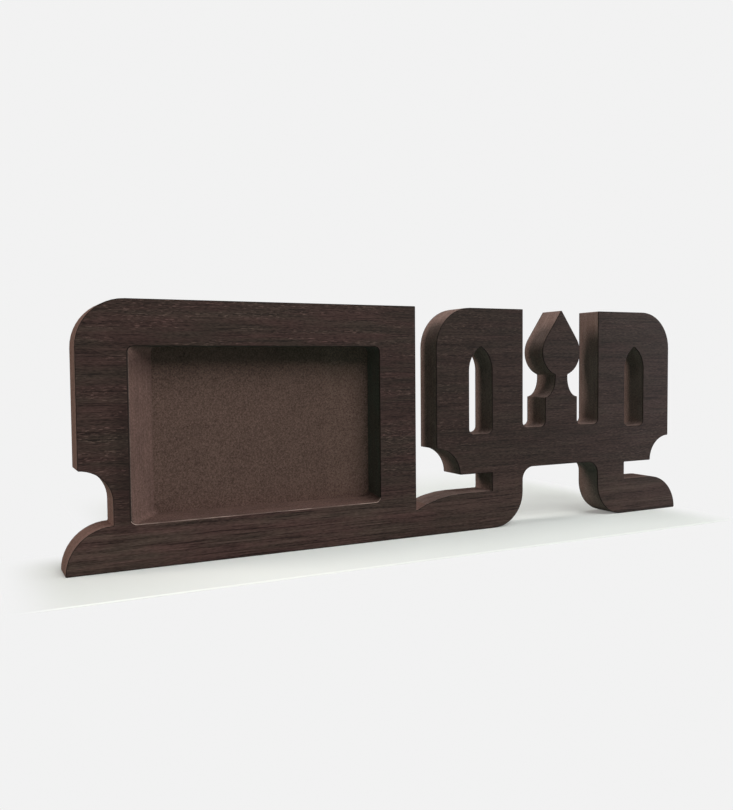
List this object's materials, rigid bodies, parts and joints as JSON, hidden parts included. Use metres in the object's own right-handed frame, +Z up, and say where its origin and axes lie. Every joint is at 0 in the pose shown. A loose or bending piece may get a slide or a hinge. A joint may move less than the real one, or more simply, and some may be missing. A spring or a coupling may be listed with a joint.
{
  "type": "picture frame",
  "caption": "Wide free-standing wooden picture frame with a landscape window, a sloped thumb ramp, a fretwork end and turn buttons holding its back.",
  "frame": {"origin": "middle of the overall box at table level", "axes": "+X to the right seen from the front, the front faces -Y, +Z up"},
  "size_m": [0.454, 0.0246, 0.152],
  "materials": {
    "painted_edge": "fibreboard, sanded and painted dark brown, satin",
    "veneer": "dark brown wood veneer with fine level grain, satin",
    "hardboard": "brown hardboard, matt and finely speckled",
    "button_metal": "stamped steel, plated",
    "screw_metal": "zinc-plated steel"
  },
  "bodies": {
    "frame": {"core_board": "painted_edge", "front_veneer": "veneer", "rear_veneer": "veneer", "backing_board": "hardboard", "turn_button_screw_upper_left": "screw_metal", "turn_button_screw_upper_right": "screw_metal", "turn_button_screw_lower_left": "screw_metal", "turn_button_screw_lower_right": "screw_metal"},
    "button_upper_left": {"turn_button_upper_left": "button_metal"},
    "button_upper_right": {"turn_button_upper_right": "button_metal"},
    "button_lower_left": {"turn_button_lower_left": "button_metal"},
    "button_lower_right": {"turn_button_lower_right": "button_metal"}
  },
  "joints": [
    {"name": "turn_upper_left", "type": "hinge", "parent": "frame", "child": "button_upper_left", "pos_m": [-0.1495, 0.0096, 0.13435], "axis": [0, 1, 0], "continuous": true},
    {"name": "turn_upper_right", "type": "hinge", "parent": "frame", "child": "button_upper_right", "pos_m": [-0.0595, 0.0096, 0.13435], "axis": [0, 1, 0], "continuous": true},
    {"name": "turn_lower_left", "type": "hinge", "parent": "frame", "child": "button_lower_left", "pos_m": [-0.1495, 0.0096, 0.01925], "axis": [0, 1, 0], "continuous": true},
    {"name": "turn_lower_right", "type": "hinge", "parent": "frame", "child": "button_lower_right", "pos_m": [-0.0595, 0.0096, 0.01925], "axis": [0, 1, 0], "continuous": true}
  ]
}
